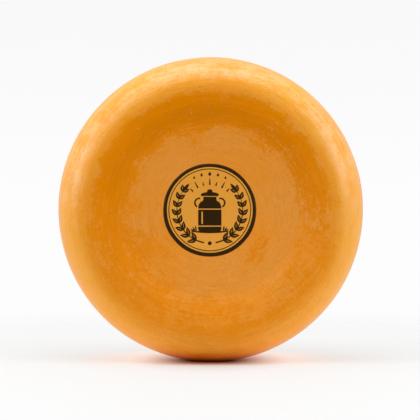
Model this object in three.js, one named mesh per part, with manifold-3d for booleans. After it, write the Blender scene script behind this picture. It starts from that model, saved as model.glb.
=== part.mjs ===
// A farmhouse cheese wheel in its brushed coat, standing on its rim, with a round printed label on its front face.
// Units are millimetres. +Z is up, and the wheel's own axis runs along Y, with the labelled face towards -Y.
// The origin lies on the surface that the wheel stands on, in the middle of the small flat that it rests on.
import * as THREE from "three";
import { mergeVertices } from "three/addons/utils/BufferGeometryUtils.js";
import Module from "manifold-3d";

// The wheel's size.
const WHEEL_RADIUS = 165; // at the fullest part of its side
const WHEEL_THICKNESS = 112; // between the crowns of its two faces
const STANDING_FLAT_DEPTH = 1.5; // how far the rim has settled flat where it stands

// One face, from its middle outwards: a sunken floor, a slope up, a crown pressed flat by the shelf, and the shoulder.
const FLOOR_RADIUS = 89;
const FLOOR_DEPTH = 4; // how far the floor lies below the crown
const CROWN_INNER_RADIUS = 114;
const CROWN_OUTER_RADIUS = 121;
const SHOULDER_FULLNESS = 2.15; // 2 is an ellipse, and more is squarer

// The label, a round of paper pasted on the middle of the front face.
const LABEL_RADIUS = 49;
const LABEL_THICKNESS = 0.25;

// How finely the round shapes are divided.
const TURNS = 96; // round the wheel's axis
const SLOPE_STEPS = 6;
const SHOULDER_STEPS = 12;
const LABEL_SIDES = 72;

const HALF_THICKNESS = WHEEL_THICKNESS / 2;
const AXIS_HEIGHT = WHEEL_RADIUS - STANDING_FLAT_DEPTH;

const wasm = await Module();
wasm.setup();

// The outline of one face as points (radius, height above the wheel's middle plane), from the axis out to the side.
function faceOutline() {
  const outline = [new THREE.Vector2(0, HALF_THICKNESS - FLOOR_DEPTH)];
  const slopeWidth = CROWN_INNER_RADIUS - FLOOR_RADIUS;
  for (let i = 0; i <= SLOPE_STEPS; i++) {
    const share = i / SLOPE_STEPS;
    const sunk = (FLOOR_DEPTH * (1 + Math.cos(Math.PI * share))) / 2;
    outline.push(new THREE.Vector2(FLOOR_RADIUS + slopeWidth * share, HALF_THICKNESS - sunk));
  }
  const shoulderWidth = WHEEL_RADIUS - CROWN_OUTER_RADIUS;
  const power = 2 / SHOULDER_FULLNESS;
  for (let i = 0; i <= SHOULDER_STEPS; i++) {
    const angle = (Math.PI / 2) * (i / SHOULDER_STEPS);
    const out = shoulderWidth * Math.sin(angle) ** power;
    const up = i === SHOULDER_STEPS ? 0 : HALF_THICKNESS * Math.cos(angle) ** power;
    outline.push(new THREE.Vector2(CROWN_OUTER_RADIUS + out, up));
  }
  return outline;
}

// The whole outline, from the axis on the front face, round the side, to the axis on the back face.
function wheelOutline() {
  const back = faceOutline();
  const front = back.map((point) => new THREE.Vector2(point.x, -point.y));
  return [...front, ...back.slice(0, -1).reverse()];
}

// A closed three.js geometry as a manifold-3d solid.
function solidOf(geometry) {
  const bare = geometry.clone();
  bare.deleteAttribute("normal");
  bare.deleteAttribute("uv");
  const merged = mergeVertices(bare, 1e-3);
  return new wasm.Manifold(
    new wasm.Mesh({
      numProp: 3,
      vertProperties: merged.attributes.position.array,
      triVerts: new Uint32Array(merged.index.array),
    }),
  );
}

// A manifold-3d solid as a three.js geometry with flat faces.
function geometryOf(solid) {
  const mesh = solid.getMesh();
  const shared = new THREE.BufferGeometry();
  shared.setAttribute("position", new THREE.BufferAttribute(mesh.vertProperties, mesh.numProp));
  shared.setIndex(new THREE.BufferAttribute(mesh.triVerts, 1));
  const geometry = shared.toNonIndexed();
  geometry.computeVertexNormals();
  return geometry;
}

// The wheel: its outline turned about its axis, then cut off level where it stands.
function cheeseWheel() {
  const turned = new THREE.LatheGeometry(wheelOutline(), TURNS);
  turned.rotateY(Math.PI / TURNS); // sets a facet square to the ground
  turned.translate(0, 0, AXIS_HEIGHT);
  const ground = new THREE.BoxGeometry(4 * WHEEL_RADIUS, 4 * WHEEL_RADIUS, WHEEL_RADIUS);
  ground.translate(0, 0, -WHEEL_RADIUS / 2);
  const standing = solidOf(turned).subtract(solidOf(ground));
  const coat = new THREE.MeshStandardMaterial({ color: 0xe0882a, roughness: 0.45, metalness: 0 });
  const wheel = new THREE.Mesh(geometryOf(standing), coat);
  wheel.name = "cheese_wheel";
  return wheel;
}

// The label: a thin round lying on the sunken floor of the front face.
function label() {
  const round = new THREE.CylinderGeometry(LABEL_RADIUS, LABEL_RADIUS, LABEL_THICKNESS, LABEL_SIDES);
  const paper = new THREE.MeshStandardMaterial({ color: 0xe8a33c, roughness: 0.6, metalness: 0 });
  const disc = new THREE.Mesh(round, paper);
  disc.name = "label";
  const floor = -(HALF_THICKNESS - FLOOR_DEPTH);
  disc.position.set(0, floor - LABEL_THICKNESS / 2, AXIS_HEIGHT);
  return disc;
}

const cheese = new THREE.Group();
cheese.add(cheeseWheel(), label());

export default cheese;
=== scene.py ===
import math

import bpy
import numpy as np
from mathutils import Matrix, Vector, noise
from mathutils.geometry import delaunay_2d_cdt


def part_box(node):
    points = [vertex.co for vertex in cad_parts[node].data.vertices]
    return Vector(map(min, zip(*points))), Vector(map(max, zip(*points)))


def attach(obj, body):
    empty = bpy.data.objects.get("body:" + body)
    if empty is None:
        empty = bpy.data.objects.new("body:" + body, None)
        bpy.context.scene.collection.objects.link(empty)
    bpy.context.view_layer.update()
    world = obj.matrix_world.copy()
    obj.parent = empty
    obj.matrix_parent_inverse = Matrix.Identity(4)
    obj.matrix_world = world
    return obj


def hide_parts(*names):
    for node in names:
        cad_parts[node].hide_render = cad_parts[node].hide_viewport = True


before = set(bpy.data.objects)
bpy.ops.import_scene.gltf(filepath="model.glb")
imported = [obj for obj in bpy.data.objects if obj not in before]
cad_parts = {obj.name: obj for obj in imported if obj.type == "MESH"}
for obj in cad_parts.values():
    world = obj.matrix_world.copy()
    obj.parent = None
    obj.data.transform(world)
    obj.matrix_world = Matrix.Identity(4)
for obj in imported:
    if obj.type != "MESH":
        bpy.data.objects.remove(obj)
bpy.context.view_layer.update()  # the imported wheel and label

bl_info = {
    "name": "Farmhouse Cheese Wheel",
    "version": (1, 0, 0),
    "blender": (4, 5, 0),
    "location": "View3D > Sidebar > Cheese",
    "description": "A whole cheese in its brushed coat, with a printed paper label, on a pale studio floor",
    "category": "Add Mesh",
}

# The wheel stands on its rim: its axis runs along Y, the labelled face looks towards -Y, and the ground
# is z = 0.
WHEEL_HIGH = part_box("cheese_wheel")[1]
LABEL_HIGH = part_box("label")[1]
WHEEL_RADIUS = WHEEL_HIGH.x
AXIS_HEIGHT = WHEEL_HIGH.z - WHEEL_RADIUS
HALF_THICKNESS = WHEEL_HIGH.y
LABEL_RADIUS = LABEL_HIGH.x
DISH_DEPTH = HALF_THICKNESS + LABEL_HIGH.y  # the label lies on the sunken floor of the face
MM = 0.001
LABEL_OFF_CENTRE = (-1.0 * MM, -0.9 * MM)  # pasted by hand


# --------------------------------------------------------------------------------------------------
# Sizes and colours that a user would change
# --------------------------------------------------------------------------------------------------

def length_property(name, description, default):
    return bpy.props.FloatProperty(
        name=name, description=description, default=default, precision=5, unit="LENGTH"
    )


def colour_property(name, description, default):
    return bpy.props.FloatVectorProperty(
        name=name, description=description, default=default, size=3, min=0, max=1, subtype="COLOR"
    )


def number_property(name, description, default, highest=10):
    return bpy.props.FloatProperty(
        name=name, description=description, default=default, min=0, soft_max=highest
    )


class CheeseCoatSettings(bpy.types.PropertyGroup):
    floor_radius: length_property("Floor radius", "Where the sunken middle of a face ends", 89 * MM)
    crown_inner: length_property("Crown inner radius", "Where the slope out of the dish ends", 114 * MM)
    crown_outer: length_property("Crown outer radius", "Where the rounded shoulder begins", 121 * MM)
    fullness: number_property("Shoulder fullness", "2 is an ellipse, and more is squarer", 2.15)
    swell: length_property("Swell", "Height of the slow unevenness of the faces", 0.35 * MM)
    ripple: length_property("Ripple", "Height of the small unevenness under the coat", 0.035 * MM)
    clear_colour: colour_property("Clear coat", "Coat with no bloom on it", (0.87, 0.253, 0.0))
    bloom_colour: colour_property("Bloom", "Coat under its dull pale bloom", (0.90, 0.345, 0.054))
    side_colour: colour_property("Side", "Coat on the rounded side", (1.0, 0.41, 0.002))


class CheeseLabelSettings(bpy.types.PropertyGroup):
    paper_thickness: length_property("Paper", "Thickness of the paper with its glue", 0.16 * MM)
    ink_thickness: length_property("Ink", "How far the print stands on the paper", 0.05 * MM)
    border_width: length_property("Border", "Width of the printed ring at the cut edge", 4.0 * MM)
    border_shift: length_property("Border shift", "How far the print sits above the cut's middle", 0.35 * MM)
    paper_colour: colour_property("Paper colour", "Toned paper", (0.925, 0.385, 0.034))
    ink_colour: colour_property("Ink colour", "Dark brown print", (0.028, 0.013, 0.002))


class CheeseStageSettings(bpy.types.PropertyGroup):
    camera_distance: length_property("Camera distance", "From the camera to the wheel's middle plane", 1.5)
    focal_length: number_property("Focal length", "In millimetres, on a 36 mm sensor", 118.3, 300)
    floor_radius: length_property("Floor", "Radius of the floor, which fades out well inside it", 1.5)
    top_light: number_property("Top softbox", "Brightness of the softbox overhead", 2.5)
    left_light: number_property("Left softbox", "Brightness of the softbox on the left", 5.0)
    right_light: number_property("Right softbox", "Brightness of the softbox on the right", 5.3)
    room_light: number_property("Room", "Brightness of the white walls behind, above and at the sides", 0.72)
    # The floor's glow is painted light, which lightens the wheel's shadow on it away from the foot.
    floor_light: number_property("Floor light", "Glow of the floor, which is lit from under it", 0.515)


# --------------------------------------------------------------------------------------------------
# Small helpers
# --------------------------------------------------------------------------------------------------

def smoothstep(low, high, value):
    share = np.clip((value - low) / (high - low), 0, 1)
    return share * share * (3 - 2 * share)


def new_piece(name, points, faces):
    """A smooth-shaded mesh object in the scene."""
    mesh = bpy.data.meshes.new(name)
    mesh.from_pydata([tuple(p) for p in points], [], [tuple(f) for f in faces])
    mesh.shade_smooth()
    piece = bpy.data.objects.new(name, mesh)
    bpy.context.scene.collection.objects.link(piece)
    return piece


def finish_piece(piece, material, slot, *nodes):
    """Gives a piece its material and its place in the frame. The slot is not used."""
    piece.data.materials.append(material)
    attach(piece, "root")
    if nodes:
        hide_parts(*nodes)


class NodeBoard:
    """Adds shader nodes to a tree and joins them up as it goes."""

    def __init__(self, tree):
        self.tree = tree

    def add(self, kind, inputs=(), **settings):
        node = self.tree.nodes.new(kind)
        node.location = (200 * (len(self.tree.nodes) % 12), -260 * (len(self.tree.nodes) // 12))
        for name, value in settings.items():
            setattr(node, name, value)
        for name, value in dict(inputs).items():
            self.feed(node.inputs[name], value)
        return node

    def feed(self, socket, value):
        if isinstance(value, bpy.types.NodeSocket):
            self.tree.links.new(value, socket)
        else:
            socket.default_value = value

    def math(self, operation, first, second=0.0):
        return self.add("ShaderNodeMath", {0: first, 1: second}, operation=operation).outputs[0]

    def plus(self, total, *others):
        """The sum of some values."""
        for value in others:
            total = self.math("ADD", total, value)
        return total

    def times(self, product, *others):
        """The product of some values."""
        for value in others:
            product = self.math("MULTIPLY", product, value)
        return product

    def swing(self, value, spread):
        """A value from 0 to 1, turned into one that swings this far in all round 0."""
        return self.times(self.math("SUBTRACT", value, 0.5), spread)

    def vector(self, operation, first, second=(0, 0, 0), output="Vector"):
        node = self.add("ShaderNodeVectorMath", {0: first, 1: second}, operation=operation)
        return node.outputs[output]

    def scaled(self, vector, scale):
        node = self.add("ShaderNodeVectorMath", {0: vector, "Scale": scale}, operation="SCALE")
        return node.outputs[0]

    def mix(self, factor, first, second, blend="MIX"):
        node = self.add("ShaderNodeMix", data_type="RGBA", blend_type=blend)
        self.feed(node.inputs[0], factor)
        self.feed(node.inputs[6], first)
        self.feed(node.inputs[7], second)
        return node.outputs[2]

    def shaded(self, colour, level):
        """A colour made darker or lighter by a level, where 1 leaves it as it is."""
        grey = self.add("ShaderNodeCombineColor", {0: level, 1: level, 2: level}).outputs[0]
        return self.mix(1.0, colour, grey, "MULTIPLY")

    def blend(self, factor, first, second):
        node = self.add("ShaderNodeMix", {0: factor, 2: first, 3: second}, data_type="FLOAT")
        return node.outputs[0]

    def ramp(self, value, low, high, to_low=0.0, to_high=1.0):
        """Goes smoothly from one value to another while the given value goes from low to high."""
        node = self.add(
            "ShaderNodeMapRange",
            {"Value": value, "From Min": low, "From Max": high, "To Min": to_low, "To Max": to_high},
            interpolation_type="SMOOTHSTEP",
        )
        return node.outputs["Result"]

    def noise(self, vector, scale, detail=2.0, roughness=0.5, distortion=0.0):
        node = self.add("ShaderNodeTexNoise", {
            "Vector": vector, "Scale": scale, "Detail": detail, "Roughness": roughness,
            "Distortion": distortion,
        })
        return node.outputs["Fac"]


def rgba(colour):
    return (*colour, 1.0)


# --------------------------------------------------------------------------------------------------
# Effects that several materials use
# --------------------------------------------------------------------------------------------------

def new_group(name, inputs, outputs):
    """A shader node group with these sockets, and the board and nodes to fill it in with."""
    tree = bpy.data.node_groups.new(name, "ShaderNodeTree")
    for label, kind, default in inputs:
        socket = tree.interface.new_socket(label, in_out="INPUT", socket_type=kind)
        if default is not None:
            socket.default_value = default
    for label, kind in outputs:
        tree.interface.new_socket(label, in_out="OUTPUT", socket_type=kind)
    board = NodeBoard(tree)
    return tree, board, board.add("NodeGroupInput"), board.add("NodeGroupOutput")


def brushing_group():
    """Strokes that run round the wheel's axis, as a brush leaves them on a turning cheese."""
    tree, board, given, result = new_group(
        "Brushing Round The Axis",
        [
            ("Place", "NodeSocketVector", None),
            ("Stroke Spacing", "NodeSocketFloat", 3 * MM),
            ("Strokes Around", "NodeSocketFloat", 14.0),
            ("Detail", "NodeSocketFloat", 2.0),
        ],
        [("Strokes", "NodeSocketFloat"), ("Radius", "NodeSocketFloat")],
    )
    from_axis = board.vector("SUBTRACT", given.outputs["Place"], (0, 0, AXIS_HEIGHT))
    across = board.vector("MULTIPLY", from_axis, (1, 0, 1))
    radius = board.vector("LENGTH", across, output="Value")
    along = board.add("ShaderNodeSeparateXYZ", {0: from_axis}).outputs["Y"]
    fineness = board.math("DIVIDE", 1.0, given.outputs["Stroke Spacing"])
    reach = board.math("DIVIDE", given.outputs["Strokes Around"], math.tau)
    round_axis = board.scaled(board.vector("NORMALIZE", across), reach)
    outward = board.add("ShaderNodeCombineXYZ", {"Y": board.times(radius, fineness)}).outputs[0]
    strokes = board.add(
        "ShaderNodeTexNoise",
        {
            "Vector": board.vector("ADD", round_axis, outward),
            "W": board.times(along, fineness),
            "Scale": 1.0,
            "Detail": given.outputs["Detail"],
        },
        noise_dimensions="4D",
    )
    board.feed(result.inputs["Strokes"], strokes.outputs["Fac"])
    board.feed(result.inputs["Radius"], radius)
    return tree


def speckle_group():
    """Small round spots, thinly strewn."""
    tree, board, given, result = new_group(
        "Strewn Specks",
        [
            ("Place", "NodeSocketVector", None),
            ("Spacing", "NodeSocketFloat", 8 * MM),
            ("Speck Size", "NodeSocketFloat", 1 * MM),
            ("Share", "NodeSocketFloat", 0.3),
        ],
        [("Specks", "NodeSocketFloat")],
    )
    fineness = board.math("DIVIDE", 1.0, given.outputs["Spacing"])
    cells = board.add("ShaderNodeTexVoronoi", {
        "Vector": given.outputs["Place"], "Scale": fineness, "Randomness": 1.0,
    })
    chance = board.add("ShaderNodeSeparateColor", {0: cells.outputs["Color"]})
    kept = board.math("LESS_THAN", chance.outputs[0], given.outputs["Share"])
    variety = board.ramp(chance.outputs[1], 0, 1, 0.4, 1.0)
    size = board.times(given.outputs["Speck Size"], fineness, variety)
    near = board.ramp(board.math("DIVIDE", cells.outputs["Distance"], size), 0.4, 1.0, 1.0, 0.0)
    board.feed(result.inputs["Specks"], board.times(near, kept))
    return tree


def grain_group():
    """A fine even grain that lightens and darkens a colour a little."""
    tree, board, given, result = new_group(
        "Fine Grain",
        [
            ("Place", "NodeSocketVector", None),
            ("Colour", "NodeSocketColor", None),
            ("Grain Size", "NodeSocketFloat", 1 * MM),
            ("Strength", "NodeSocketFloat", 0.06),
        ],
        [("Colour", "NodeSocketColor"), ("Grain", "NodeSocketFloat")],
    )
    fineness = board.math("DIVIDE", 1.0, given.outputs["Grain Size"])
    grain = board.noise(given.outputs["Place"], fineness, detail=3.0, roughness=0.6)
    level = board.plus(1.0, board.swing(grain, given.outputs["Strength"]))
    board.feed(result.inputs["Colour"], board.shaded(given.outputs["Colour"], level))
    board.feed(result.inputs["Grain"], grain)
    return tree


def effect(board, name, inputs):
    """Places a shared effect in a material, and makes it first if nothing has used it yet."""
    makers = {
        "Brushing Round The Axis": brushing_group,
        "Strewn Specks": speckle_group,
        "Fine Grain": grain_group,
    }
    tree = bpy.data.node_groups.get(name) or makers[name]()
    node = board.add("ShaderNodeGroup", node_tree=tree)
    for label, value in inputs.items():
        board.feed(node.inputs[label], value)
    return node


def new_material(name):
    """A material with a board, its Principled shader and the place of the surface in the frame."""
    material = bpy.data.materials.new(name)
    material.use_nodes = True
    material.node_tree.nodes.clear()
    board = NodeBoard(material.node_tree)
    shader = board.add("ShaderNodeBsdfPrincipled")
    board.add("ShaderNodeOutputMaterial", {"Surface": shader.outputs[0]})
    place = board.add("ShaderNodeTexCoord").outputs["Object"]
    return material, board, shader, place


def add_bumps(board, shader, height):
    """Gives a surface small bumps of this height in millimetres."""
    bump = board.add("ShaderNodeBump", {"Height": height, "Distance": 1 * MM, "Strength": 1.0})
    board.feed(shader.inputs["Normal"], bump.outputs["Normal"])


# --------------------------------------------------------------------------------------------------
# The wheel
# --------------------------------------------------------------------------------------------------

OUTLINE_POINTS = 500  # in each of the outline's two stretches, before it is cut into even steps
RING_PITCH = 1.6 * MM  # between rings of the wheel's mesh, along its outline
FEWEST_SIDES = 8  # in a ring round the middle of a face
MOST_SIDES = 512  # in one ring
FLAT_SOFTNESS = 0.35 * MM  # of the edge round the flat it stands on

# The bake map has a disc for each face, side by side in its upper half, and under them two strips, each for
# half of the side's way round.
DISC_REACH = 142 * MM  # from a face's middle, measured over the surface
DISC_SPAN = 0.245  # a disc's radius on the map
DISC_MIDDLES = (0.25, 0.75)
DISC_LEVEL = 0.75
STRIP_WIDTH = 0.25
STRIP_MARGIN = 0.005

# Waves in a metre of the surface's unevenness.
SLOW_WAVES = 13
QUICK_WAVES = 34
RIPPLE_WAVES = 120

# Hollows left by fingers, tools and the shelf: (angle round the axis in degrees, distance from the middle of
# the front face over the surface, width, depth), the last three in millimetres. From the side's middle on,
# the distance is on the back.
DENTS = [
    (312, 118, 7, 0.40), (58, 131, 9, 0.35), (205, 96, 6, 0.30), (140, 150, 10, 0.45), (268, 166, 8, 0.35),
    (22, 180, 12, 0.50), (97, 204, 11, 0.45), (180, 214, 9, 0.40), (330, 232, 10, 0.45), (75, 262, 8, 0.35),
    (215, 300, 7, 0.35), (120, 318, 9, 0.40), (20, 352, 8, 0.30), (300, 372, 10, 0.35), (160, 385, 7, 0.30),
]


def half_outline(coat):
    """Points from the middle of the back face to the middle of the side: radius, height, arc length."""
    radius = np.linspace(0, coat.crown_outer, OUTLINE_POINTS)
    rise = np.clip((radius - coat.floor_radius) / (coat.crown_inner - coat.floor_radius), 0, 1)
    height = HALF_THICKNESS - DISH_DEPTH * (1 + np.cos(math.pi * rise)) / 2
    turn = np.linspace(0, math.pi / 2, OUTLINE_POINTS)[1:]
    power = 2 / coat.fullness
    shoulder = coat.crown_outer + (WHEEL_RADIUS - coat.crown_outer) * np.sin(turn) ** power
    radius = np.append(radius, shoulder)
    height = np.append(height, HALF_THICKNESS * np.maximum(np.cos(turn), 0) ** power)
    height[-1] = 0
    length = np.append(0, np.cumsum(np.hypot(np.diff(radius), np.diff(height))))
    return radius, height, length


def full_outline(coat):
    """Even steps from the front face's middle to the back's: radius, height, normal, and the step's size."""
    radius, height, length = half_outline(coat)
    steps = round(length[-1] / RING_PITCH)
    along = np.linspace(0, length[-1], steps + 1)
    r, h = np.interp(along, length, radius), np.interp(along, length, height)
    r, y = np.append(r, r[-2::-1]), np.append(-h, h[-2::-1])
    dr, dy = np.gradient(r), np.gradient(y)
    size = np.hypot(dr, dy)
    return r, y, dy / size, -dr / size, along[-1] * 2 / (len(r) - 1)


def sides_of(radius):
    """How many sides a ring of this radius has: a power of two that keeps its faces near square."""
    if radius < RING_PITCH / 2:
        return 1
    near_square = 2 ** round(math.log2(math.tau * radius / RING_PITCH))
    return int(min(MOST_SIDES, max(FEWEST_SIDES, near_square)))


def unevenness(place, on_label, coat):
    """How far the surface stands proud of a true turned shape at this place."""
    radius = math.hypot(place.x, place.z - AXIS_HEIGHT)
    calm = 1 - 0.6 * float(smoothstep(130 * MM, 160 * MM, radius))
    slow = noise.noise(place * SLOW_WAVES) + 0.4 * noise.noise(place * QUICK_WAVES + Vector((7, 3, 1)))
    proud = coat.swell * calm * slow
    if not on_label:
        beyond_label = float(smoothstep(LABEL_RADIUS + 2 * MM, LABEL_RADIUS + 11 * MM, radius))
        share = beyond_label if place.y < 0 else 1.0
        proud += coat.ripple * share * noise.noise(place * RIPPLE_WAVES + Vector((2, 9, 4)))
    return proud


def dent_depth(places, outline):
    """How far each place is pressed in by the dents."""
    radius, height, _, _, pitch = outline
    depth = np.zeros(len(places))
    for angle, along, width, deep in DENTS:
        ring = min(len(radius) - 1, round(along * MM / pitch))
        turn = math.radians(angle)
        middle = np.array([
            radius[ring] * math.cos(turn), height[ring], AXIS_HEIGHT + radius[ring] * math.sin(turn)
        ])
        distance = np.linalg.norm(places - middle, axis=1)
        depth += deep * MM * np.exp(-(distance / (width * MM)) ** 2)
    return depth


def ring_points(outline, coat):
    """The wheel's vertices ring by ring, and the first vertex and number of sides of each ring."""
    radius, height, normal_r, normal_y, _ = outline
    sides = [sides_of(r) for r in radius]
    first = np.append(0, np.cumsum(sides))[:-1]
    places, normals = [], []
    for r, y, nr, ny, count in zip(radius, height, normal_r, normal_y, sides):
        turn = np.arange(count) * math.tau / count
        c, s = np.cos(turn), np.sin(turn)
        places.append(np.stack([r * c, np.full(count, y), AXIS_HEIGHT + r * s], 1))
        normals.append(np.stack([nr * c, np.full(count, ny), nr * s], 1))
    places, normals = np.concatenate(places), np.concatenate(normals)
    proud = np.array([unevenness(Vector(p), False, coat) for p in places])
    proud -= dent_depth(places, outline)
    return settle(places + normals * proud[:, None]), first, sides


def settle(places):
    """Flattens the rim where it stands on the ground, with a soft edge round the flat."""
    z = places[:, 2]
    level = (z + np.sqrt(z * z + FLAT_SOFTNESS * FLAT_SOFTNESS)) / 2
    places[:, 2] = np.where(z < 20 * FLAT_SOFTNESS, level, z)
    places[:, 2] -= places[:, 2].min()
    return places


def band_faces(sides, ring):
    """The faces between one ring and the next, each a list of (ring, step round the ring)."""
    inner, outer = sides[ring], sides[ring + 1]
    fewer, more = (ring, ring + 1) if inner <= outer else (ring + 1, ring)
    count = sides[fewer]
    if inner == outer:
        return [[(ring, j), (ring, j + 1), (ring + 1, j + 1), (ring + 1, j)] for j in range(count)]
    faces = []
    if count == 1:
        faces = [[(fewer, 0), (more, j + 1), (more, j)] for j in range(sides[more])]
    else:
        for j in range(count):
            faces.append([(fewer, j), (more, 2 * j + 1), (more, 2 * j)])
            faces.append([(fewer, j), (fewer, j + 1), (more, 2 * j + 1)])
            faces.append([(fewer, j + 1), (more, 2 * j + 2), (more, 2 * j + 1)])
    return faces if fewer == ring else [face[::-1] for face in faces]


def disc_place(middle, span, turn):
    """A place on one of the map's discs. The back is seen from behind, so its spans are below 0."""
    return middle + span * math.cos(turn), DISC_LEVEL + abs(span) * math.sin(turn)


def wheel_map(faces, sides, rings, pitch):
    """The bake map's place of every face corner, in the order of the faces."""
    disc_rings = round(DISC_REACH / pitch)
    strip_rings = rings - 2 * disc_rings
    half = MOST_SIDES // 2
    long = 1 - 2 * STRIP_MARGIN
    wide = STRIP_WIDTH - 2 * STRIP_MARGIN
    places = []
    for face in faces:
        turns = [math.tau * step / sides[ring] for ring, step in face]
        if max(ring for ring, step in face) <= disc_rings:
            spans = [DISC_SPAN * ring / disc_rings for ring, step in face]
            places += [disc_place(DISC_MIDDLES[0], span, turn) for span, turn in zip(spans, turns)]
        elif min(ring for ring, step in face) >= rings - disc_rings:
            spans = [-DISC_SPAN * (rings - ring) / disc_rings for ring, step in face]
            places += [disc_place(DISC_MIDDLES[1], span, turn) for span, turn in zip(spans, turns)]
        else:
            second = min(step for ring, step in face) >= half
            for ring, step in face:
                along = STRIP_MARGIN + long * (step / half - second)
                across = STRIP_MARGIN + wide * (ring - disc_rings) / strip_rings
                places.append((along, across + STRIP_WIDTH * second))
    return places


# Where hands, cloths and the shelf have rubbed the bloom thin on the front face: (right of the middle, above
# it, reach, share of the bloom that is gone), the first three in millimetres.
RUBBED_SPOTS = [
    (50, -36, 12, 0.5), (44, -52, 10, 0.4), (-72, -48, 26, 0.55), (-44, -72, 16, 0.4), (8, -118, 24, 0.35),
    (-40, -98, 22, 0.3), (-82, 2, 13, 0.3), (-20, 74, 12, 0.25),
]


def bloom_cover(places):
    """How much dull bloom lies on the coat at each place, before it is broken up: none is 0, plenty is 1."""
    x, y, z = places[:, 0], places[:, 1], places[:, 2] - AXIS_HEIGHT
    radius = np.hypot(x, z) / WHEEL_RADIUS
    upward = np.cos(np.arctan2(z, x) - math.radians(105))
    middle = 0.86
    ring = 0.30 - 0.27 * upward  # on the slope out of the dish
    shoulder = 0.36 + 0.44 * smoothstep(-0.75, 0.55, z / WHEEL_RADIUS)
    cover = middle + (ring - middle) * smoothstep(0.46, 0.65, radius + 0.03 * upward)
    cover += (shoulder - ring) * smoothstep(0.71, 0.79, radius)
    cover *= 1 - 0.9 * smoothstep(0.87, 0.94, radius)
    # The back has the same spots, half a turn round the axis from those of the front.
    way = np.where(y < 0, 1, -1)
    for right, above, reach, gone in RUBBED_SPOTS:
        distance = np.hypot(x * way - right * MM, z * way - above * MM) / (reach * MM)
        cover *= 1 - gone * np.exp(-distance * distance)
    return cover


# Lesser shades of the coat. The foot's is a painted shadow, and the scuffed shades carry a painted
# highlight.
FOOT_PAINTED_SHADOW = (0.72, 0.12, 0.0)  # painted shadow, darker and redder next to the ground
WARM_SHADE = (0.98, 0.29, 0.0)  # in slow drifts
# Scuffed patches, partly real and partly a painted highlight; the higher shade is paler, as the painted
# highlight is brighter high on the wheel.
LOW_SCUFF_AND_HIGHLIGHT = (1.0, 0.47, 0.07)
HIGH_SCUFF_AND_HIGHLIGHT = (1.0, 0.66, 0.29)
PIT_SHADE = (0.74, 0.16, 0.0)
FLECK_SHADE = (0.98, 0.47, 0.16)


def brushing(board, place, spacing, around):
    """Brush strokes this far apart, and this many of them end to end round the axis."""
    return effect(board, "Brushing Round The Axis", {
        "Place": place, "Stroke Spacing": spacing, "Strokes Around": around, "Detail": 3.0,
    })


def specks(board, place, spacing, size, share):
    """Small spots, at most one for each spacing, of which this share is kept."""
    return effect(board, "Strewn Specks", {
        "Place": place, "Spacing": spacing, "Speck Size": size, "Share": share,
    }).outputs["Specks"]


def broken_bloom(board, place, height_up, strokes, hairs):
    """The bloom, broken into ragged patches, coarse and fine, and the fine wiping that thins it."""
    cover = board.add("ShaderNodeAttribute", attribute_name="bloom_cover").outputs["Fac"]
    patches = board.noise(place, 34.0, detail=9.0, roughness=0.70, distortion=0.3)
    crumbs = board.noise(place, 330.0, detail=3.0, roughness=0.6)
    broken = board.plus(board.swing(patches, 2.2), board.swing(crumbs, 0.80), board.swing(strokes, 0.45))
    bloom = board.ramp(board.plus(cover, broken), 0.31, 0.68)
    evenness = board.ramp(height_up, 0.05, 0.25, 0.62, 0.22)
    bloom = board.blend(evenness, bloom, cover)
    wiped = board.plus(board.swing(hairs, 1.0), board.swing(crumbs, 1.2))
    bloom = board.plus(bloom, board.times(wiped, board.ramp(bloom, 0.0, 0.5, 0.5, 1.0)))
    return bloom, wiped


def side_and_painted_light_share(board, radius, height_up):
    """How much of the side's paler colour there is: less low on the wheel, where it starts further out. Its
    reach further in high up is painted light, and its thinning next to the ground painted shade.
    """
    low = board.ramp(radius, 0.75 * WHEEL_RADIUS, 0.93 * WHEEL_RADIUS, 0.0, 0.96)
    low = board.times(low, board.ramp(height_up, 0.01, 0.07, 0.70, 1.0))
    high = board.ramp(radius, 0.69 * WHEEL_RADIUS, 0.92 * WHEEL_RADIUS)
    return board.blend(board.ramp(height_up, 0.08, 0.25), low, high)


def scuff_and_highlight_share(board, place, radius, painted_highlight_height, strokes, wiped):
    """Where the rounded side is scuffed pale, in streaks, and more so high on the wheel: partly real scuffed
    wax, partly a painted highlight of the light from above.
    """
    scuffs_and_highlight = board.noise(place, 60.0, detail=5.0, roughness=0.6)
    scuffs_and_highlight = board.plus(scuffs_and_highlight, board.times(strokes, 0.35), board.times(wiped, 0.5))
    return board.times(
        board.ramp(scuffs_and_highlight, 0.53, 0.82),
        board.ramp(radius, 0.78 * WHEEL_RADIUS, 0.90 * WHEEL_RADIUS),
        board.ramp(radius, 0.94 * WHEEL_RADIUS, 0.985 * WHEEL_RADIUS, 1.0, 0.3),
        board.blend(painted_highlight_height, 0.7, 1.0),
    )


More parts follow.
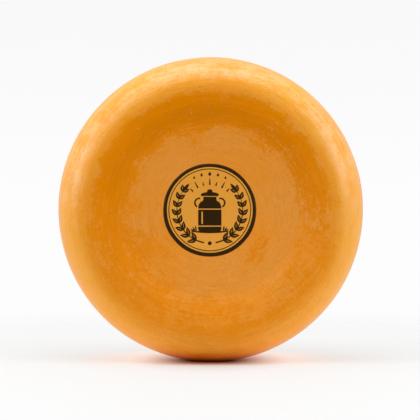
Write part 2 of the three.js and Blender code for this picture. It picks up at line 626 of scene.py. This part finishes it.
def coat_material(coat):
    """The brushed coat: clear amber where rubbed or thin, dull with bloom elsewhere, paler on the side."""
    material, board, shader, place = new_material("brushed cheese coat")
    height_up = board.add("ShaderNodeSeparateXYZ", {0: place}).outputs["Z"]
    brushed = brushing(board, place, 3.2 * MM, 16.0)
    radius, strokes = brushed.outputs["Radius"], brushed.outputs["Strokes"]
    hairs = brushing(board, place, 1.5 * MM, 34.0).outputs["Strokes"]
    bloom, wiped = broken_bloom(board, place, height_up, strokes, hairs)
    pits = specks(board, place, 9 * MM, 1.7 * MM, 0.36)
    flecks = specks(board, board.vector("ADD", place, (0.31, 0.17, 0.05)), 9 * MM, 1.2 * MM, 0.34)

    colour = board.mix(bloom, rgba(coat.clear_colour), rgba(coat.bloom_colour))
    # The side's own paler colour, with painted light where it reaches further in high up and painted shade
    # where it thins next to the ground.
    colour = board.mix(side_and_painted_light_share(board, radius, height_up), colour, rgba(coat.side_colour))
    # Painted shadow: the coat turns darker and redder within 16 mm of the ground.
    colour = board.mix(board.ramp(height_up, 1 * MM, 16 * MM, 0.9, 0.0), colour, rgba(FOOT_PAINTED_SHADOW))
    drift = board.ramp(board.noise(place, 16.0, detail=2.0), 0.3, 0.7, 0.0, 0.35)
    colour = board.mix(drift, colour, rgba(WARM_SHADE))
    mottle = effect(board, "Fine Grain", {
        "Place": place, "Colour": colour, "Grain Size": 7 * MM, "Strength": 0.08,
    })
    grain = effect(board, "Fine Grain", {
        "Place": place, "Colour": mottle.outputs["Colour"], "Grain Size": 1.5 * MM, "Strength": 0.06,
    })
    colour = board.shaded(grain.outputs["Colour"], board.plus(0.93, board.times(hairs, 0.14)))
    # Scuffed patches with a painted highlight in them, paler and stronger high on the wheel, where the light
    # falls.
    painted_highlight_height = board.ramp(height_up, 0.12, 0.23)
    pale = board.mix(painted_highlight_height, rgba(LOW_SCUFF_AND_HIGHLIGHT), rgba(HIGH_SCUFF_AND_HIGHLIGHT))
    scuffs_and_highlight = scuff_and_highlight_share(board, place, radius, painted_highlight_height, strokes, wiped)
    colour = board.mix(board.times(scuffs_and_highlight, 0.50), colour, pale)
    colour = board.mix(board.times(pits, 0.40), colour, rgba(PIT_SHADE))
    colour = board.mix(board.times(flecks, 0.55), colour, rgba(FLECK_SHADE))
    board.feed(shader.inputs["Base Color"], colour)

    shine = board.ramp(radius, 0.76 * WHEEL_RADIUS, 0.91 * WHEEL_RADIUS)
    polish = board.times(shine, board.ramp(height_up, 0.03, 0.20, 0.2, 1.0))
    board.feed(shader.inputs["Specular IOR Level"], board.blend(polish, 0.30, 0.76))
    board.feed(shader.inputs["Specular Tint"], board.mix(shine, (1.0, 0.6, 0.15, 1), (1, 1, 1, 1)))
    rough = board.plus(board.blend(bloom, 0.36, 0.50), board.swing(hairs, 0.22))
    rough = board.math("SUBTRACT", rough, board.times(polish, 0.06))
    board.feed(shader.inputs["Roughness"], rough)

    add_bumps(board, shader, board.plus(
        board.times(strokes, 0.21),
        board.times(hairs, 0.05),
        board.times(mottle.outputs["Grain"], 0.10),
        board.times(grain.outputs["Grain"], 0.04),
        board.times(bloom, 0.02),
        board.times(pits, -0.02),
        board.times(flecks, 0.08),
    ))
    return material


def make_wheel(coat):
    outline = full_outline(coat)
    pitch = outline[-1]
    places, first, sides = ring_points(outline, coat)
    rings = len(sides) - 1
    faces = [face for ring in range(rings) for face in band_faces(sides, ring)]
    corners = [[first[ring] + step % sides[ring] for ring, step in face] for face in faces]
    piece = new_piece("cheese_wheel_body", places, corners)
    map_layer = piece.data.uv_layers.new(name="OFBake")
    map_layer.uv.foreach_set("vector", np.array(wheel_map(faces, sides, rings, pitch), np.float32).ravel())
    cover = piece.data.attributes.new("bloom_cover", "FLOAT", "POINT")
    cover.data.foreach_set("value", bloom_cover(places).astype(np.float32))
    finish_piece(piece, coat_material(coat), "rind_coat", "cheese_wheel")


# --------------------------------------------------------------------------------------------------
# The label: shapes are drawn flat in millimetres, x to the right and z up from the label's middle
# --------------------------------------------------------------------------------------------------

def arc(radius, start, end, steps, middle=(0, 0)):
    """Points along a circle, with angles in degrees from the right."""
    turn = np.radians(np.linspace(start, end, steps))
    return [(middle[0] + radius * math.cos(t), middle[1] + radius * math.sin(t)) for t in turn]


def circle(radius, steps, middle=(0, 0)):
    return arc(radius, 0, 360, steps + 1, middle)[:-1]


def turned(points, heading, root=(0, 0)):
    """Points moved from the origin to a root, and turned from the right to a heading in degrees."""
    c, s = math.cos(math.radians(heading)), math.sin(math.radians(heading))
    return [(root[0] + c * x - s * y, root[1] + s * x + c * y) for x, y in points]


def leaf(root, heading, length, width, steps=7):
    """A pointed leaf from its root along a heading in degrees."""
    share = np.linspace(0, 1, steps)
    bulge = np.sin(math.pi * share ** 0.8) * width / 2
    out = [(length * s, b) for s, b in zip(share, bulge)]
    back = [(length * s, -b) for s, b in zip(share[-2:0:-1], bulge[-2:0:-1])]
    return turned(out + back, heading, root)


def stem(radius, start, end, thick):
    """A strip along an arc that tapers to its end."""
    steps = 22
    widths = np.linspace(thick, thick * 0.35, steps) / 2
    turn = np.radians(np.linspace(start, end, steps))
    outer = [((radius + w) * math.cos(t), (radius + w) * math.sin(t)) for w, t in zip(widths, turn)]
    inner = [((radius - w) * math.cos(t), (radius - w) * math.sin(t)) for w, t in zip(widths, turn)]
    return outer + inner[::-1]


def cut_edge(radius):
    """The label's cut edge, a little out of round."""
    turn = np.linspace(0, math.tau, 145)[:-1]
    cut = radius - 0.12 * (1 + np.sin(3 * turn + 0.6)) - 0.08 * (1 + np.sin(8 * turn + 2.0))
    return list(zip(cut * np.cos(turn), cut * np.sin(turn)))


def mirrored(shape):
    return [(-x, z) for x, z in shape]


def counterclockwise(shape):
    """The shape with its points in the order the triangulation takes as a filled outline."""
    area = sum(a[0] * b[1] - b[0] * a[1] for a, b in zip(shape, shape[1:] + shape[:1]))
    return shape if area > 0 else shape[::-1]


def sprig():
    """The right-hand sprig of meadow leaves, as shapes with whether each is inked."""
    curve, start, end = 34.5, -80, 38  # the stem's radius and angles
    shapes = [(stem(curve, start, end, 1.5), True)]
    for n, angle in enumerate(np.linspace(-66, 34, 8)):
        root = turned([(curve, 0)], angle)[0]
        length = 10.4 - 0.35 * n
        for turn_out in (-34, 36):
            heading = angle + 90 + turn_out
            shapes.append((leaf(root, heading, length, 4.5), True))
            vein_root = turned([(0.22 * length, 0)], heading, root)[0]
            shapes.append((leaf(vein_root, heading, 0.58 * length, 0.42, 5), False))
    shapes.append((leaf(turned([(curve, 0)], end)[0], 130, 9, 3.4), True))
    return shapes


def rays():
    """Rays over the churn, long and short in turn, each narrower at its tip."""
    shapes = []
    for n, angle in enumerate(np.linspace(48, 132, 7)):
        foot, tip = 26.5, (33.5 if n % 2 else 30.5)
        shapes.append((turned([(foot, 0.9), (foot, -0.9), (tip, -0.3), (tip, 0.3)], angle), True))
    return shapes


def meadow():
    """The ground the churn stands on, with a few blades of grass."""
    ground = [(x, -22.6 - 1.5 * (1 - (x / 20) ** 2)) for x in np.linspace(-20, 20, 15)]
    ground += [(x, -22.0 + 0.4 * (1 - (x / 20) ** 2)) for x in np.linspace(19, -19, 14)]
    shapes = [(ground, True)]
    for x, heading, length in ((14.2, 82, 6.5), (15.4, 62, 5.6), (16.6, 40, 4.4)):
        blade = leaf((x, -22.3), heading, length, 1.7)
        shapes += [(blade, True), (mirrored(blade), True)]
    return shapes


def churn():
    """A milk churn with its lid, hoops and handles, as shapes with whether each is inked."""
    foot, wide, neck = -22, 12.2, 6.9
    half = [(0, foot), (10.6, foot), (11.8, -21.0), (wide, -19.2), (wide, 2.4)]
    shoulder = np.radians((25, 50, 70, 85))
    half += [(neck + 5.3 * math.cos(t), 2.4 + 7.4 * math.sin(t)) for t in shoulder]
    half += [(neck, 10.8), (neck, 14.0), (9.0, 15.0), (9.4, 16.3), (9.0, 17.5), (6.2, 18.4), (2.8, 19.0)]
    half += [(2.8, 20.8), (1.8, 21.7), (0, 21.9)]
    body = half + mirrored(half[-2:0:-1])
    handle = arc(5.5, -62, 104, 12, (11.0, 7.8)) + arc(3.8, 104, -62, 12, (11.0, 7.8))
    shapes = [(handle, True), (mirrored(handle), True), (body, True)]
    for low, high, reach in ((-17.2, -16.1, wide), (0.6, 1.7, wide), (14.1, 14.9, 7.4)):
        shapes.append(([(-reach, low), (reach, low), (reach, high), (-reach, high)], False))
    glint = [(-8.8, -14.2), (-7.3, -14.5), (-7.3, -1.6), (-8.8, -1.2)]
    shapes.append((glint, False))
    return shapes


def diamond(middle, wide, tall):
    x, z = middle
    return [(x - wide / 2, z), (x, z - tall / 2), (x + wide / 2, z), (x, z + tall / 2)]


def label_shapes(label):
    """All shapes of the print, each lying over the ones before it, with whether it is inked."""
    edge = LABEL_RADIUS / MM
    middle = (0, label.border_shift / MM)
    shapes = [(cut_edge(edge), True), (circle(edge - label.border_width / MM, 120, middle), False)]
    shapes += [(circle(edge - 5.6, 110, middle), True), (circle(edge - 6.5, 110, middle), False)]
    for shape, inked in sprig():
        shapes += [(shape, inked), (mirrored(shape), inked)]
    shapes += meadow() + churn() + rays()
    shapes.append((diamond((0, 38.0), 3.6, 5.2), True))
    for side in (-1, 1):
        shapes.append((diamond((side * 8.6, 36.9), 2.8, 4.0), True))
        shapes.append((diamond((side * 16.4, 34.0), 2.4, 3.4), True))
    shapes.append((circle(2.1, 14, (0, -34.6)), True))
    return shapes


def grid_points(edge, pitch):
    """Points strewn evenly over the label, so that its mesh can follow the cheese under it."""
    row_pitch = pitch * 0.866
    rows = int(edge / row_pitch)
    off_line = (0.013, 0.007)  # keeps the points clear of the print's straight edges
    points = []
    for row in range(-rows, rows + 1):
        for column in range(-rows - 2, rows + 3):
            x, z = pitch * (column + 0.5 * (row % 2)), row_pitch * row
            if math.hypot(x, z) < edge - 1.2 * pitch:
                points.append((x + off_line[0], z + off_line[1]))
    return points


def cut_sheet(label):
    """The flat label cut into triangles along its print: points, triangles, and whether each is inked."""
    shapes = [(counterclockwise(shape), inked) for shape, inked in label_shapes(label)]
    points = [Vector(p) for shape, inked in shapes for p in shape]
    ends = np.cumsum([0] + [len(shape) for shape, inked in shapes])
    loops = [list(range(a, b)) for a, b in zip(ends[:-1], ends[1:])]
    points += [Vector(p) for p in grid_points(LABEL_RADIUS / MM, 2.2)]
    flat, _, triangles, _, _, covers = delaunay_2d_cdt(points, [], loops, 0, 1e-4, True)
    kept = [(t, shapes[max(c)][1]) for t, c in zip(triangles, covers) if c]
    places = np.array([tuple(p) for p in flat]) * MM
    return places, [t for t, inked in kept], [inked for t, inked in kept]


def floor_place(x, z, lift, coat):
    """The place on the front face's floor at x, z from the label's middle, lifted off the coat."""
    x, z = x + LABEL_OFF_CENTRE[0], z + LABEL_OFF_CENTRE[1]
    flat = Vector((x, DISH_DEPTH - HALF_THICKNESS, AXIS_HEIGHT + z))
    return Vector((flat.x, flat.y - unevenness(flat, True, coat) - lift, flat.z))


def paper_lift(x, z):
    """How far the paper stands off the coat: pasted flat, with its edge lifting a little in two places."""
    radius = math.hypot(x, z) / LABEL_RADIUS
    turn = math.atan2(z, x)
    edge = max(0.0, radius - 0.86) / 0.14  # from 0 on the pasted part to 1 at the cut
    paste = 0.03 * MM
    upper_right = 0.16 * MM * max(0.0, math.cos(turn - 0.9)) ** 6
    lower_left = 0.12 * MM * max(0.0, math.cos(turn + 2.4)) ** 8
    waves = 0.015 * MM * math.sin(9 * turn)
    return paste + (upper_right + lower_left) * edge * edge + waves * edge


def closed_sheet(flat, triangles, low, high):
    """A closed sheet over these triangles, from the heights low(x, z) to high(x, z)."""
    used = sorted({v for t in triangles for v in t})
    index = {v: n for n, v in enumerate(used)}
    count = len(used)
    top = [high(*flat[v]) for v in used]
    under = [low(*flat[v]) for v in used]
    faces = [[index[v] for v in t] for t in triangles]
    sides = {(a, b) for t in faces for a, b in zip(t, t[1:] + t[:1])}
    walls = [(b, a, a + count, b + count) for a, b in sides if (b, a) not in sides]
    return top + under, faces + [[v + count for v in t[::-1]] for t in faces] + walls


# Lesser shades of the label.
FADED_PAPER = (0.88, 0.345, 0.022)
PAPER_FIBRE = (0.42, 0.15, 0.02)
THIN_INK = (0.17, 0.075, 0.018)


def paper_material(label):
    """Toned label paper with a faint fibre and a soft sheen."""
    material, board, shader, place = new_material("toned label paper")
    clouds = board.ramp(board.noise(place, 60.0, detail=4.0, roughness=0.6), 0.3, 0.7, 0.0, 0.30)
    colour = board.mix(clouds, rgba(label.paper_colour), rgba(FADED_PAPER))
    grain = effect(board, "Fine Grain", {
        "Place": place, "Colour": colour, "Grain Size": 0.7 * MM, "Strength": 0.16,
    })
    fibres = specks(board, place, 3.5 * MM, 0.35 * MM, 0.35)
    colour = board.mix(board.times(fibres, 0.35), grain.outputs["Colour"], rgba(PAPER_FIBRE))
    board.feed(shader.inputs["Base Color"], colour)
    board.feed(shader.inputs["Roughness"], board.ramp(grain.outputs["Grain"], 0.2, 0.8, 0.46, 0.60))
    add_bumps(board, shader, board.times(grain.outputs["Grain"], 0.03))
    return material


def ink_material(label):
    """Dark brown print, a little thin and patchy where the paper's grain took less ink."""
    material, board, shader, place = new_material("dark brown print")
    thin = board.ramp(board.noise(place, 900.0, detail=2.0), 0.60, 0.78, 0.0, 0.55)
    colour = board.mix(thin, rgba(label.ink_colour), rgba(THIN_INK))
    grain = effect(board, "Fine Grain", {
        "Place": place, "Colour": colour, "Grain Size": 0.5 * MM, "Strength": 0.5,
    })
    board.feed(shader.inputs["Base Color"], grain.outputs["Colour"])
    board.feed(shader.inputs["Roughness"], board.ramp(grain.outputs["Grain"], 0.2, 0.8, 0.42, 0.58))
    shader.inputs["Specular IOR Level"].default_value = 0.2
    shader.inputs["Specular Tint"].default_value = (1, 0.75, 0.4, 1)
    add_bumps(board, shader, board.times(grain.outputs["Grain"], 0.02))
    return material


def make_label(label, coat):
    """The paper, and the print as a sheet of its own that stands a hair above the paper."""
    flat, triangles, inked = cut_sheet(label)

    def level(height):
        """Gives the place at this height over the underside of the pasted paper."""
        return lambda x, z: floor_place(x, z, paper_lift(x, z) + height, coat)

    face = label.paper_thickness
    paper = new_piece("label_paper", *closed_sheet(flat, triangles, level(0), level(face)))
    finish_piece(paper, paper_material(label), "label_paper", "label")
    printed = [t for t, ink in zip(triangles, inked) if ink]
    ink_foot, ink_face = face - label.ink_thickness / 5, face + label.ink_thickness
    ink = new_piece("label_print", *closed_sheet(flat, printed, level(ink_foot), level(ink_face)))
    finish_piece(ink, ink_material(label), "label_ink")


# --------------------------------------------------------------------------------------------------
# The stage
# --------------------------------------------------------------------------------------------------

CAMERA_SHIFT = (-0.8 * MM, -0.7 * MM)  # right of the wheel's axis, and above it

# The floor's shades near the wheel and away from it, and the painted orange bounce of the wheel's light
# round its foot.
NEAR_FLOOR = (0.66, 0.71, 0.73)
NEAR_FLOOR_PAINTED_BOUNCE = (0.62, 0.36, 0.24)
FAR_FLOOR = (0.34, 0.35, 0.352)
FAR_FLOOR_PAINTED_BOUNCE = (0.36, 0.27, 0.22)
PAINTED_BOUNCE_GLOW = (1.0, 0.86, 0.77)


def make_camera(stage):
    data = bpy.data.cameras.new("camera")
    data.lens = stage.focal_length
    camera = bpy.data.objects.new("camera", data)
    camera.location = (CAMERA_SHIFT[0], -stage.camera_distance, AXIS_HEIGHT + CAMERA_SHIFT[1])
    camera.rotation_euler = (math.pi / 2, 0, 0)
    bpy.context.scene.collection.objects.link(camera)
    bpy.context.scene.camera = camera


def floor_material(stage):
    """Pale translucent floor that fades into the backdrop. It glows as painted light, except at the wheel's
    foot, which lightens the wheel's shadow away from the foot.
    """
    material, board, shader, place = new_material("pale studio floor")
    distance = board.vector("LENGTH", place, output="Value")
    oval = board.vector("LENGTH", board.vector("MULTIPLY", place, (1.5, 1.0, 1.0)), output="Value")
    along = board.add("ShaderNodeSeparateXYZ", {0: place}).outputs["Y"]
    # Painted bounce: orange light thrown back by the wheel, painted on the floor beside and behind the foot,
    # not in front of it.
    painted_bounce = board.times(
        board.ramp(along, -0.066, -0.036),
        board.ramp(along, 0.05, 0.12, 1.0, 0.0),
        board.ramp(oval, 0.04, 0.26, 1.0, 0.0),
    )
    # Painted light: the floor glows, but not at the wheel's foot, so only the shadow there stays dark.
    glow = board.ramp(oval, 0.03, 0.14)
    near = board.mix(painted_bounce, rgba(NEAR_FLOOR), rgba(NEAR_FLOOR_PAINTED_BOUNCE))
    far = board.mix(painted_bounce, rgba(FAR_FLOOR), rgba(FAR_FLOOR_PAINTED_BOUNCE))
    mottle = board.noise(place, 7.0, detail=3.0)
    colour = board.mix(board.times(mottle, 0.02), board.mix(glow, near, far), (0.6, 0.6, 0.6, 1))
    board.feed(shader.inputs["Base Color"], colour)
    board.feed(shader.inputs["Roughness"], board.ramp(mottle, 0.3, 0.7, 0.68, 0.72))
    fade = board.ramp(distance, 0.11 * stage.floor_radius, 0.55 * stage.floor_radius, 1.0, 0.0)
    board.feed(shader.inputs["Alpha"], fade)
    shader.inputs["Specular IOR Level"].default_value = 0.1
    board.feed(shader.inputs["Emission Color"], board.mix(painted_bounce, (1, 1, 1, 1), rgba(PAINTED_BOUNCE_GLOW)))
    lift = board.times(glow, board.plus(1.0, board.times(painted_bounce, 0.40)), stage.floor_light)
    board.feed(shader.inputs["Emission Strength"], lift)
    return material


def make_floor(stage):
    ring = [(x, y, 0) for x, y in circle(stage.floor_radius, 96)]
    floor = new_piece("studio_floor", ring, [range(len(ring))])
    floor.data.materials.append(floor_material(stage))


def make_softbox(name, place, target, wide, tall, brightness):
    """A rectangular light that looks at a target; its brightness is that of its face."""
    data = bpy.data.lights.new(name, "AREA")
    data.shape = "RECTANGLE"
    data.size, data.size_y = wide, tall
    data.energy = brightness * math.pi * wide * tall
    light = bpy.data.objects.new(name, data)
    light.location = place
    aim = Vector(target) - Vector(place)
    light.rotation_euler = aim.to_track_quat("-Z", "Y").to_euler()
    light.visible_camera = False
    bpy.context.scene.collection.objects.link(light)


def make_room(stage):
    """White walls behind, above and at the sides, dark where the camera stands; a plain white backdrop."""
    world = bpy.data.worlds.new("studio room")
    world.use_nodes = True
    world.node_tree.nodes.clear()
    board = NodeBoard(world.node_tree)
    facing = board.add("ShaderNodeSeparateXYZ", {0: board.add("ShaderNodeTexCoord").outputs["Generated"]})
    walls = board.ramp(facing.outputs["Y"], -0.92, -0.20, 0.03, stage.room_light)
    lit = board.add("ShaderNodeBackground", {"Color": (1, 0.995, 0.985, 1), "Strength": walls})
    backdrop = board.ramp(facing.outputs["Z"], -0.02, 0.15, 0.982, 0.948)
    seen = board.add("ShaderNodeBackground", {"Color": (1, 1, 1, 1), "Strength": backdrop})
    by_camera = board.add("ShaderNodeLightPath").outputs["Is Camera Ray"]
    both = board.add("ShaderNodeMixShader", {0: by_camera, 1: lit.outputs[0], 2: seen.outputs[0]})
    board.add("ShaderNodeOutputWorld", {"Surface": both.outputs[0]})
    bpy.context.scene.world = world


def make_stage(stage):
    make_camera(stage)
    make_floor(stage)
    make_room(stage)
    middle = (0, 0, AXIS_HEIGHT)
    make_softbox("top_softbox", (-0.1, -0.34, 1.5), middle, 1.4, 1.1, stage.top_light)
    make_softbox("left_softbox", (-1.08, -0.44, 0.60), middle, 0.5, 0.6, stage.left_light)
    make_softbox("right_softbox", (1.06, -0.50, 0.56), middle, 0.5, 0.6, stage.right_light)
    bpy.context.scene.view_settings.view_transform = "Standard"


# --------------------------------------------------------------------------------------------------
# Operators and panel
# --------------------------------------------------------------------------------------------------

class CHEESE_OT_wheel(bpy.types.Operator):
    """Make the cheese itself, with its dished faces, its flat where it stands and its brushed coat"""

    bl_idname = "cheese.make_wheel"
    bl_label = "Cheese Wheel"

    def execute(self, context):
        make_wheel(context.scene.cheese_coat)
        return {"FINISHED"}


class CHEESE_OT_label(bpy.types.Operator):
    """Make the paper label and its print, pasted on the floor of the front face"""

    bl_idname = "cheese.make_label"
    bl_label = "Paper Label"

    def execute(self, context):
        make_label(context.scene.cheese_label, context.scene.cheese_coat)
        return {"FINISHED"}


class CHEESE_OT_stage(bpy.types.Operator):
    """Make the camera, the pale floor and the soft studio light"""

    bl_idname = "cheese.make_stage"
    bl_label = "Studio"

    def execute(self, context):
        make_stage(context.scene.cheese_stage)
        return {"FINISHED"}


class CHEESE_PT_panel(bpy.types.Panel):
    """Lists the pieces of the cheese and their settings"""

    bl_label = "Farmhouse Cheese Wheel"
    bl_idname = "CHEESE_PT_panel"
    bl_space_type = "VIEW_3D"
    bl_region_type = "UI"
    bl_category = "Cheese"

    def draw(self, context):
        for operator, settings in (
            (CHEESE_OT_wheel, context.scene.cheese_coat),
            (CHEESE_OT_label, context.scene.cheese_label),
            (CHEESE_OT_stage, context.scene.cheese_stage),
        ):
            box = self.layout.box()
            for name in settings.__annotations__:
                box.prop(settings, name)
            box.operator(operator.bl_idname)


CLASSES = (
    CheeseCoatSettings, CheeseLabelSettings, CheeseStageSettings,
    CHEESE_OT_wheel, CHEESE_OT_label, CHEESE_OT_stage, CHEESE_PT_panel,
)


def register():
    for cls in CLASSES:
        bpy.utils.register_class(cls)
    bpy.types.Scene.cheese_coat = bpy.props.PointerProperty(type=CheeseCoatSettings)
    bpy.types.Scene.cheese_label = bpy.props.PointerProperty(type=CheeseLabelSettings)
    bpy.types.Scene.cheese_stage = bpy.props.PointerProperty(type=CheeseStageSettings)


def unregister():
    del bpy.types.Scene.cheese_stage
    del bpy.types.Scene.cheese_label
    del bpy.types.Scene.cheese_coat
    for cls in reversed(CLASSES):
        bpy.utils.unregister_class(cls)


def main():
    register()
    bpy.ops.cheese.make_stage()
    bpy.ops.cheese.make_wheel()
    bpy.ops.cheese.make_label()


if __name__ == "__main__":
    main()
